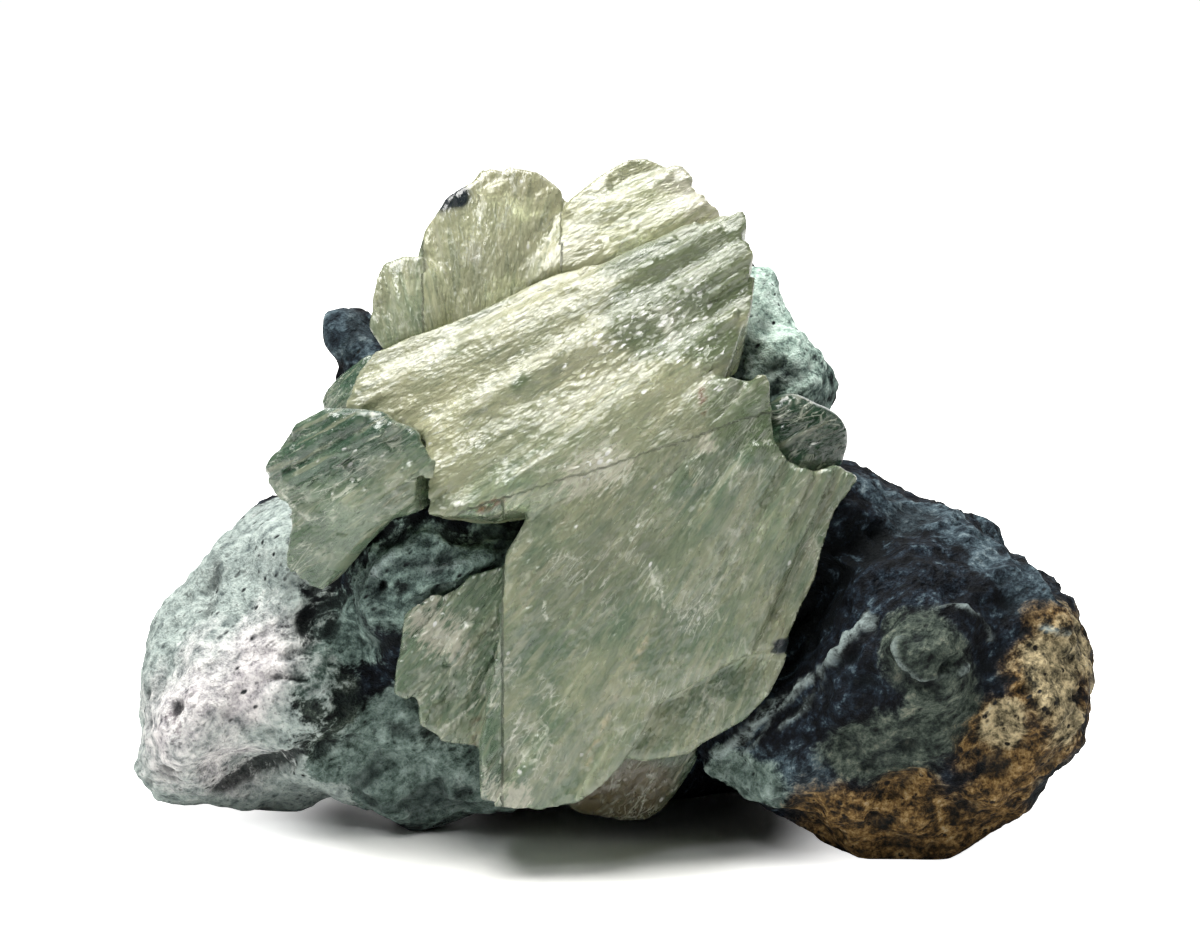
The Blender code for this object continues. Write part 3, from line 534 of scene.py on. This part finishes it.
def bruciteMaterial():
    material = bpy.data.materials.new("brucite")
    n = Nodes(material)
    place = n.add("ShaderNodeTexCoord").outputs["Object"]
    sheets = n.attribute("sheetPlace", "Vector")
    streaks = n.noise(n.stretched(sheets, (0.30, 0.70, 0.3)), 1.0, 3.0, 0.6)
    fineStreaks = n.noise(n.stretched(sheets, (0.8, 1.9, 0.7)), 1.0, 2.0, 0.6)
    clouds = n.noise(place, 110.0, 2.0, 0.5)
    milk = n.noise(place, 260.0, 3.0, 0.7)
    grain = n.noise(n.stretched(sheets, (0.8, 3.4, 1.0)), 1.0, 3.0, 0.7)
    across = n.add("ShaderNodeSeparateXYZ", {"Vector": sheets}).outputs["Y"]
    sheet = n.total(n.product(across, crystalLook["sheetsPerMm"]), n.product(fineStreaks, 4.0))
    part = n.math("FRACT", sheet)  # 0 to 1 from one fine sheet edge to the next
    cracks = cleavageCracks(n, sheets, clouds, milk)
    glint, tipped, facet = cleavageFacets(n, sheets, fineStreaks)

    base = bodyColour(n, streaks, clouds, grain)
    base = stained(n, base, sheets, streaks, milk, grain)
    base = marked(n, base, streaks, fineStreaks, grain, milk, part, cracks)
    # painted highlight: the glint dots are white in the base colour
    n.link(n.tint(base, glint, crystalLook["glint"]), n.shader, "Base Color")
    rough = n.add("ShaderNodeMapRange", {"Value": streaks, "From Min": 0.3, "From Max": 0.7,
                                         "To Min": crystalLook["smoothest"], "To Max": crystalLook["roughest"]})
    n.link(rough.outputs["Result"], n.shader, "Roughness")
    setValues(n.shader, crystalLook["body"])

    heights = n.total(n.product(facet, crystalLook["tiltHeight"]), n.product(part, crystalLook["sheetHeight"]))
    heights = n.total(heights, n.product(tipped, crystalLook["glintHeight"]))
    n.link(n.bump(heights), n.shader, "Normal")
    absorb = n.add("ShaderNodeVolumeAbsorption", crystalLook["absorbed"])
    n.link(absorb.outputs["Volume"], n.output, "Volume")
    return material


stoneLook = {
    "voxel": 0.40, "softRounds": 4,
    "grainWay": (0.78, 0.15, 0.58),  # the ridges run this way
    "grainPull": 0.5,
    "lumpSize": 6.5, "lumpDepth": 0.9,
    "ridgeSize": 3.8, "ridgeDepth": 0.50,
    "creaseSize": 1.7, "creaseDepth": 0.24,
    "pitSize": 2.0, "pitDepth": 0.85,
    "gritSize": 0.95, "gritDepth": 0.14,
    "paleCalm": 0.45, "paleSmooth": 0.6,  # how much lower the pale crust's lumps and ridges are
    "reliefRange": 1.8, "fullMark": 0.6,  # mm
    "shine": 0.12, "roughest": 0.95, "smoothest": 0.55, "grainHeight": 0.65, "holeHeight": 0.15,
}

# Where the rock's crusts lie: points in mm and a reach.
crusts = {
    "paleCrust": [([(-37.0, 2.0, 12.0), (-33.0, 0.0, 20.0), (-31.0, -4.0, 12.0)], 10.0),
                  ([(-29.0, 4.0, 24.0)], 7.0),
                  ([(-38.3, -4.6, 8.0), (-34.1, -5.2, 5.6), (-29.6, -3.5, 5.0)], 6.5),
                  ([(-37.0, 0.0, 4.0), (-32.0, -1.0, 2.5), (-27.0, -1.0, 2.5)], 6.5),
                  ([(-36.0, 10.0, 12.0)], 8.0)],
    "frostCrust": [([(12.7, 2.8, 45.0), (13.5, 0.0, 41.0)], 5.5), ([(14.5, 0.0, 38.0)], 3.0)],
    "blueCrustAndHighlight": [([(-22.7, 3.0, 41.6)], 5.0),
                  # painted highlight: lighter blue-grey along the right lobe's top ridge, where the top lamp
                  # falls
                  ([(21.6, -3.7, 29.1), (27.1, -5.6, 27.0), (32.0, -12.0, 24.2)], 4.5),
                  ([(16.0, -13.0, 8.0), (12.0, -12.0, 8.0)], 3.5),
                  ([(-4.0, 18.0, 38.0), (6.0, 21.0, 30.0)], 9.0),
                  ([(28.0, 6.0, 20.0)], 9.0), ([(-24.0, 14.0, 20.0)], 8.0)],
    "pinkCrust": [([(-34.2, -6.9, 13.2), (-37.2, -5.9, 8.6)], 7.5), ([(-32.0, -6.0, 6.5)], 6.5),
                  ([(-30.0, -7.0, 13.0), (-28.0, -6.5, 17.0)], 5.0)],
    "mintCrust": [([(-14.7, -11.1, 24.8), (-18.8, -10.8, 22.3)], 5.5), ([(-21.0, -6.0, 18.0)], 5.0),
                  ([(12.7, 1.8, 44.8), (15.1, -1.5, 38.7)], 8.0), ([(-9.2, -8.6, 26.3)], 3.5)],
    "toeCrust": [([(-22.0, -6.0, 4.5), (-12.3, -7.0, 4.5)], 7.5),
                 ([(-16.0, 20.0, 14.0), (-6.0, 23.0, 20.0)], 9.0),
                 ([(18.0, 14.0, 34.0)], 7.0), ([(-14.0, 10.0, 44.0)], 6.0),
                 ([(-25.5, -6.5, 17.0), (-25.0, -7.0, 14.0)], 3.5), ([(-18.0, -5.8, 11.1)], 4.0),
                 ([(6.0, -9.5, 6.0), (11.6, -12.5, 7.0)], 3.5)],
    "sandCrust": [([(37.5, -9.1, 17.9), (34.5, -15.0, 16.6), (36.2, -15.4, 12.8)], 4.5),
                  ([(30.2, -16.4, 12.5)], 3.0)],
    "ochreCrust": [([(37.5, -9.1, 17.9), (34.1, -15.8, 16.2), (36.2, -15.4, 12.8)], 5.0),
                   ([(36.2, -15.4, 12.8), (33.5, -15.6, 9.6), (30.5, -15.0, 6.2)], 5.5),
                   ([(30.2, -16.4, 12.5), (28.0, -16.7, 10.5)], 3.2),
                   ([(22.6, -13.9, 5.9), (18.8, -12.3, 3.0), (26.9, -11.7, 2.0)], 5.5),
                   ([(18.6, -14.5, 3.5), (30.0, -12.0, 2.0)], 6.5), ([(38.0, -4.0, 12.0)], 8.0),
                   ([(30.0, 8.0, 4.0)], 9.0), ([(-4.0, 20.0, 10.0)], 8.0), ([(20.0, -10.0, 0.5)], 7.0)],
    "oliveCrust": [([(18.0, 19.0, 10.0), (24.0, 12.0, 8.0)], 9.0), ([(10.0, 8.0, 46.0)], 6.0),
                   ([(24.0, -19.4, 19.5)], 5.0), ([(26.0, -17.1, 13.0), (20.0, -15.0, 10.0)], 5.0),
                   ([(-24.5, -6.5, 12.0), (-23.5, -6.0, 8.5), (-17.0, -6.0, 9.0)], 5.5)],
}

# Hollows cut in and veins raised: points in mm, a reach and a height.
stoneMarks = {
    "calm": [([(-22.7, 3.5, 41.6)], 4.5, 1.0)],
    "hollow": [([(-23.4, -5.1, 20.6), (-24.6, -5.1, 18.0)], 2.4, 1.0), ([(-35.6, -6.8, 11.5)], 1.3, 0.7),
               ([(-33.3, 0.2, 22.1), (-33.8, -1.0, 18.4)], 1.3, 0.4),
               ([(-28.0, -7.8, 14.6), (-25.0, -8.0, 14.4)], 0.6, 0.5),
               ([(-32.6, -2.7, 3.6), (-29.5, -2.1, 5.6), (-25.7, -7.0, 7.8), (-22.0, -6.0, 9.0)], 1.5, 0.8),
               ([(-18.8, -9.8, 26.4), (-16.5, -9.0, 27.6)], 2.0, 0.7),
               ([(-12.8, -9.0, 26.8), (-11.0, -9.0, 27.0)], 2.0, 0.7),
               ([(-18.8, -10.8, 22.3)], 0.9, 1.0), ([(-17.2, -10.9, 22.3)], 0.9, 1.0),
               ([(-14.0, -11.1, 23.6)], 0.7, 0.7),
               ([(19.5, -10.0, 26.0), (16.4, -9.5, 22.9), (14.5, -11.0, 20.0), (11.0, -9.5, 14.5)], 3.4, 1.5),
               ([(20.7, -14.0, 4.3)], 1.1, 0.9), ([(29.0, -14.6, 22.4)], 0.9, 0.6),
               ([(24.0, -11.8, 22.3)], 1.2, 0.6),
               ([(22.3, -18.9, 17.0), (24.5, -19.6, 16.6)], 1.1, 0.6), ([(16.0, -13.0, 4.8)], 0.8, 0.6),
               ([(12.0, -11.0, 10.4), (16.4, -14.4, 14.6)], 0.9, 0.6),
               ([(-13.0, -6.6, 9.6), (-18.0, -5.8, 9.8)], 1.2, 0.6)],
    "vein": [([(19.9, -15.5, 20.9), (17.6, -15.3, 18.5), (14.7, -12.8, 14.8), (11.5, -12.5, 12.3),
               (8.5, -9.6, 8.4)], 0.9, 0.5),
             ([(20.9, -15.8, 19.6), (17.4, -14.8, 16.2), (13.4, -12.8, 11.4)], 0.6, 0.35),
             ([(14.7, -14.0, 16.8), (11.6, -12.4, 10.4), (9.5, -10.0, 8.0)], 0.5, 0.3),
             ([(22.0, -18.8, 21.6), (25.1, -17.1, 22.5), (28.6, -16.0, 21.4), (29.4, -15.7, 19.4)], 0.6, 0.35),
             ([(21.9, -19.0, 21.0), (21.6, -19.4, 18.6), (23.4, -20.0, 17.2), (27.0, -18.0, 17.6)], 0.6, 0.35),
             ([(29.4, -15.7, 19.6), (32.6, -15.4, 20.6), (35.1, -13.3, 19.4)], 0.6, 0.4),
             ([(-14.8, -6.5, 28.6), (-17.6, -10.4, 25.2), (-19.6, -10.6, 23.6)], 0.8, 0.5),
             ([(-9.2, -9.4, 25.4), (-12.4, -11.0, 24.6), (-15.0, -11.2, 24.0)], 0.7, 0.4)],
}


def along(spots, way, pull):  # squeezes places along a way, so that a pattern there comes out longer
    way = np.array(way) / np.linalg.norm(way)
    return spots - pull * (spots @ way)[:, None] * way


def stoneHeight(place, drawn, pale):
    look = stoneLook
    place, drawn = Vector(place), Vector(drawn)
    lumps = noise.fractal(place / look["lumpSize"], 0.9, 2.1, 3) * look["lumpDepth"]
    ridges = noise.ridged_multi_fractal(drawn / look["ridgeSize"], 0.9, 2.1, 4, 1.0, 2.0) - 1.1
    creases = abs(noise.noise(drawn / look["creaseSize"])) - 0.25
    near = noise.voronoi(drawn / look["pitSize"])[0][0]
    sparse = smooth(noise.noise(place / 4.5), -0.15, 0.3)
    pits = smooth(near, 0.40, 0.10) * sparse
    grit = noise.fractal(place / look["gritSize"], 0.8, 2.2, 2) * look["gritDepth"]
    rough = 1.0 - look["paleSmooth"] * pale
    calm = 1.0 - look["paleCalm"] * pale
    return (lumps * calm + ridges * look["ridgeDepth"] * rough + creases * look["creaseDepth"]
            - pits * look["pitDepth"] * calm + grit)


def dressRock(material):
    obj = fineCopy("matrix_rock", "matrixRock", stoneLook["voxel"])
    soften(obj, stoneLook["softRounds"])
    mesh = obj.data
    spots, ways = places(mesh)
    shares = {name: nearness(spots, lines) for name, lines in crusts.items()}
    drawn = along(spots, stoneLook["grainWay"], stoneLook["grainPull"])
    pale = np.clip(shares["paleCrust"] * 3.0, 0.0, 1.0)
    heights = np.array([stoneHeight(*each) for each in zip(spots, drawn, pale)])
    relief = np.clip(heights / stoneLook["reliefRange"] + 0.5, 0.0, 1.0)
    for mark, sign in (("calm", 0.0), ("hollow", -1.0), ("vein", 1.0)):
        depth = np.zeros(len(spots))
        for points, reach, height in stoneMarks[mark]:
            share = nearness(spots, [(points, reach)], 0.6)
            share = share * share * (3 - 2 * share)
            depth = np.maximum(depth, share * height)
        heights += sign * depth
        if sign:
            storeValues(mesh, mark, np.clip(depth / stoneLook["fullMark"], 0.0, 1.0))
        else:
            heights *= 1.0 - 0.85 * np.clip(depth * 2.0, 0.0, 1.0)
    moveOut(mesh, spots, ways, heights)
    for name, share in shares.items():
        storeValues(mesh, name, share)
    storeValues(mesh, "relief", relief)
    storePlaces(mesh, "drawnPlace", drawn)
    mesh.shade_smooth()
    mesh.materials.append(material)
    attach(obj, "root")
    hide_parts("matrix_rock")
    print("dressed matrixRock", len(mesh.polygons), "faces")
    return obj


# The stone's colours, on screen from 0 to 255, by the value of a pattern.
stoneColours = {
    "dark": [(0.42, (2, 4, 7)), (0.50, (10, 15, 22)), (0.57, (28, 38, 48)), (0.64, (76, 92, 100)),
             (0.72, (136, 150, 153))],
    "blueCrustAndHighlight": [(0.38, (12, 18, 24)), (0.47, (38, 49, 57)), (0.55, (72, 88, 96)), (0.66, (128, 143, 148))],
    "paleCrust": [(0.34, (88, 98, 98)), (0.43, (128, 139, 136)), (0.52, (154, 165, 161)),
                  (0.61, (174, 184, 180)), (0.72, (200, 206, 203))],
    "mintCrust": [(0.36, (24, 32, 32)), (0.46, (74, 90, 86)), (0.55, (126, 147, 140)), (0.68, (178, 198, 190))],
    "frostCrust": [(0.34, (84, 100, 96)), (0.45, (150, 172, 162)), (0.54, (192, 212, 202)),
                   (0.68, (214, 230, 222))],
    "toeCrust": [(0.36, (40, 52, 48)), (0.46, (84, 100, 94)), (0.56, (122, 139, 133)), (0.70, (166, 181, 175))],
    "ochreCrust": [(0.38, (18, 16, 12)), (0.46, (62, 48, 28)), (0.53, (108, 84, 50)), (0.60, (146, 120, 78)),
                   (0.68, (168, 152, 118))],
    "sandCrust": [(0.38, (40, 38, 30)), (0.46, (104, 96, 74)), (0.53, (150, 138, 108)), (0.60, (184, 168, 132)),
                  (0.70, (140, 144, 132))],
    "oliveCrust": [(0.38, (14, 17, 17)), (0.47, (44, 53, 48)), (0.56, (78, 87, 78)), (0.68, (128, 130, 114))],
    "pinkCrust": [(0.34, (112, 106, 112)), (0.46, (186, 178, 182)), (0.60, (232, 225, 225))],
}
# Painted shade for low places and hollows, with the dark holes, rot and specks and the pale veins.
shadeAndMarks = {"low": (22, 28, 31), "hole": (26, 30, 32), "rot": (20, 18, 16), "speck": (26, 32, 34),
         "vein": (150, 164, 162), "hollow": (12, 16, 18)}

# Crusts from the lowest to the top one: the pattern that colours it, its border's beginning and end, its most.
crustLayers = [("blueCrustAndHighlight", "grain", 0.10, 0.50, 0.9), ("oliveCrust", "grain", 0.12, 0.45, 0.95),
               ("toeCrust", "grain", 0.15, 0.45, 1.0), ("mintCrust", "grain", 0.18, 0.42, 1.0),
               ("paleCrust", "even", 0.10, 0.26, 1.0), ("frostCrust", "even", 0.16, 0.40, 1.0),
               ("pinkCrust", "even", 0.05, 0.95, 0.75), ("ochreCrust", "even", 0.10, 0.62, 1.0),
               ("sandCrust", "even", 0.20, 0.55, 0.95)]


def crusted(n, patterns, broad):  # the dark stone with its crusts, ragged at their borders
    base = n.ramp(patterns["grain"], stoneColours["dark"])
    ragged = n.total(n.product(n.around(broad), 1.1), n.product(n.around(patterns["grain"]), 1.2))
    for name, pattern, low, high, most in crustLayers:
        colour = n.ramp(patterns[pattern], stoneColours[name])
        reach = n.attribute(name)
        share = n.mask(n.total(reach, n.product(ragged, n.mask(reach, 0.0, 0.12))), low, high)
        base = n.mix(n.product(share, most), base, colour)
    return base


def shadedAndMarked(n, base, grain, fibres, broad, holes, comb, speck):  # painted shade in low places and in the hollows, dark holes, rot and specks, pale veins
    # painted shade: darker where the relief is low
    low = n.mask(n.attribute("relief"), 0.42, 0.14)
    base = n.tint(base, n.product(low, 0.6), shadeAndMarks["low"])
    base = n.tint(base, n.product(n.mask(holes, 0.24, 0.10), n.mask(broad, 0.46, 0.60)), shadeAndMarks["hole"])
    rot = n.product(n.mask(n.attribute("ochreCrust"), 0.15, 0.4), n.mask(fibres, 0.46, 0.56))
    base = n.tint(base, n.product(n.mask(comb, 0.34, 0.20), rot), shadeAndMarks["rot"])
    base = n.tint(base, n.product(n.mask(speck, 0.60, 0.72), 0.45), shadeAndMarks["speck"])
    vein = n.product(n.mask(n.attribute("vein"), 0.05, 0.8), n.mask(grain, 0.38, 0.54))
    base = n.tint(base, n.product(vein, 0.75), shadeAndMarks["vein"])
    # painted shade in the hollows
    hollowShade = n.product(n.mask(n.attribute("hollow"), 0.1, 0.9), n.mask(grain, 0.62, 0.50))
    return n.tint(base, n.product(hollowShade, 0.84), shadeAndMarks["hollow"])


def rockMaterial():
    material = bpy.data.materials.new("matrix rock")
    n = Nodes(material)
    place = n.add("ShaderNodeTexCoord").outputs["Object"]
    drawn = n.attribute("drawnPlace", "Vector")
    broad = n.noise(place, 150.0, 2.0, 0.6)
    fibres = n.noise(drawn, 0.9, 4.0, 0.74)
    mottle = n.noise(place, 950.0, 3.0, 0.75)
    speck = n.noise(place, 2400.0, 1.0, 0.6)
    grain = n.total(n.product(fibres, 0.6), n.product(mottle, 0.4))
    even = n.total(n.product(fibres, 0.25), n.product(mottle, 0.75))
    holes = n.add("ShaderNodeTexVoronoi", {"Vector": drawn, "Scale": 1.2}).outputs["Distance"]
    comb = n.add("ShaderNodeTexVoronoi", {"Vector": place, "Scale": 1150.0}).outputs["Distance"]
    base = crusted(n, {"grain": grain, "even": even}, broad)
    base = shadedAndMarked(n, base, grain, fibres, broad, holes, comb, speck)
    n.link(base, n.shader, "Base Color")
    setValues(n.shader, {"Specular IOR Level": stoneLook["shine"]})
    rough = n.add("ShaderNodeMapRange", {"Value": grain, "To Min": stoneLook["roughest"],
                                         "To Max": stoneLook["smoothest"]})
    n.link(rough.outputs["Result"], n.shader, "Roughness")
    heights = n.total(n.product(even, stoneLook["grainHeight"]),
                      n.product(n.mask(holes, 0.0, 0.3), stoneLook["holeHeight"]))
    n.link(n.bump(heights), n.shader, "Normal")
    return material


view = {
    "target": (-1.24, 0.0, 29.8),  # mm, where the books were measured
    "elevation": 10.0, "distance": 274.9, "lens": 100.0, "sensor": 36.0, "nearest": 10.0,
}

studio = {
    "ambient": 0.015, "ambientColour": (0.93, 0.97, 1.0, 1.0), "shown": (1.0, 1.0, 1.0, 1.0),
    "aim": (0.0, 0.0, 0.025),
    "lamps": {
        "top": {"at": (-0.08, -0.04, 0.50), "size": 0.40, "power": 5.6, "colour": (1.0, 0.99, 0.96)},
        "frontFill": {"at": (-0.14, -0.36, 0.44), "size": 0.10, "power": 0.55, "colour": (0.98, 0.99, 1.0)},
        "left": {"at": (-0.50, -0.06, 0.18), "size": 0.35, "power": 0.5, "colour": (1.0, 1.0, 1.0)},
        "right": {"at": (0.50, 0.04, 0.22), "size": 0.35, "power": 0.3, "colour": (1.0, 1.0, 1.0)},
        "back": {"at": (0.05, 0.50, 0.28), "size": 0.60, "power": 1.8, "colour": (1.0, 1.0, 1.0)},
    },
}


# The floor burns out to white away from the specimen, and keeps its shadow inside an oval.
floorLook = {
    "size": 6.0, "ovalPlace": (0.006, 0.0, 0.0), "ovalScale": (1.6, 1.5, 1.0),
    "whiteFrom": 0.028, "whiteTo": 0.046,
    "surface": {"Base Color": (0.93, 0.93, 0.92, 1.0), "Roughness": 0.55,
                "Emission Color": (1.0, 1.0, 0.995, 1.0)},
}


def addFloor():
    bm = bmesh.new()
    bmesh.ops.create_grid(bm, x_segments=1, y_segments=1, size=floorLook["size"])
    mesh = bpy.data.meshes.new("floor")
    bm.to_mesh(mesh)
    bm.free()
    floorPiece = bpy.data.objects.new("floor", mesh)
    scene.collection.objects.link(floorPiece)
    material = bpy.data.materials.new("pale floor")
    n = Nodes(material)
    setValues(n.shader, floorLook["surface"])
    place = n.add("ShaderNodeTexCoord").outputs["Object"]
    oval = n.add("ShaderNodeMapping", {"Vector": place, "Location": floorLook["ovalPlace"],
                                       "Scale": floorLook["ovalScale"]}).outputs["Vector"]
    away = n.add("ShaderNodeVectorMath", {0: oval}, operation="LENGTH").outputs["Value"]
    seen = n.add("ShaderNodeLightPath").outputs["Is Camera Ray"]
    white = n.mask(away, floorLook["whiteFrom"], floorLook["whiteTo"])
    n.link(n.product(white, seen), n.shader, "Emission Strength")
    mesh.materials.append(material)


def addLight(name, place, size, power, colour):
    data = bpy.data.lights.new(name, "AREA")
    data.size = size
    data.energy = power
    data.color = colour
    lamp = bpy.data.objects.new(name, data)
    lamp.location = place
    lamp.rotation_euler = (Vector(place) - Vector(studio["aim"])).to_track_quat("Z", "Y").to_euler()
    scene.collection.objects.link(lamp)


def addWorld():  # white to the camera, dimmer as a light
    world = bpy.data.worlds.new("studio")
    scene.world = world
    world.use_nodes = True
    tree = world.node_tree
    shown = tree.nodes["Background"]
    shown.inputs["Color"].default_value = studio["shown"]
    shown.inputs["Strength"].default_value = 1.0
    dim = tree.nodes.new("ShaderNodeBackground")
    dim.inputs["Color"].default_value = studio["ambientColour"]
    dim.inputs["Strength"].default_value = studio["ambient"]
    rays = tree.nodes.new("ShaderNodeLightPath")
    pick = tree.nodes.new("ShaderNodeMixShader")
    tree.links.new(rays.outputs["Is Camera Ray"], pick.inputs[0])
    tree.links.new(dim.outputs[0], pick.inputs[1])
    tree.links.new(shown.outputs[0], pick.inputs[2])
    tree.links.new(pick.outputs[0], tree.nodes["World Output"].inputs["Surface"])


def addCamera():
    data = bpy.data.cameras.new("camera")
    data.lens = view["lens"]
    data.sensor_width = view["sensor"]
    data.clip_start = view["nearest"] * mm
    camera = bpy.data.objects.new("camera", data)
    rise = radians(view["elevation"])
    away = Vector((0.0, -cos(rise), sin(rise)))
    camera.location = (Vector(view["target"]) + standShift + away * view["distance"]) * mm
    camera.rotation_euler = away.to_track_quat("Z", "Y").to_euler()
    scene.collection.objects.link(camera)
    scene.camera = camera


def main():
    brucite = bruciteMaterial()
    dressCrystal("main_blades", "mainBlades", mainBladeBooks, brucite)
    dressCrystal("crown_crystals", "crownCrystals", crownBooks, brucite)
    dressCrystal("left_crystal", "leftCrystal", whole("leftBook"), brucite)
    dressCrystal("right_knob_crystal", "rightKnobCrystal", whole("rightKnob"), brucite,
                 knobGrowth["all"], knobGrowth["spread"])
    dressCrystal("under_crystal", "underCrystal", whole("underCrystal"), brucite)
    dressCrystal("left_edge_crystal", "leftEdgeCrystal", whole("leftEdge"), brucite)
    dressRock(rockMaterial())
    addFloor()
    addWorld()
    for name, lamp in studio["lamps"].items():
        addLight(name, lamp["at"], lamp["size"], lamp["power"], lamp["colour"])
    addCamera()
    scene.view_settings.view_transform = "Standard"
    print("lights and camera set")


main()
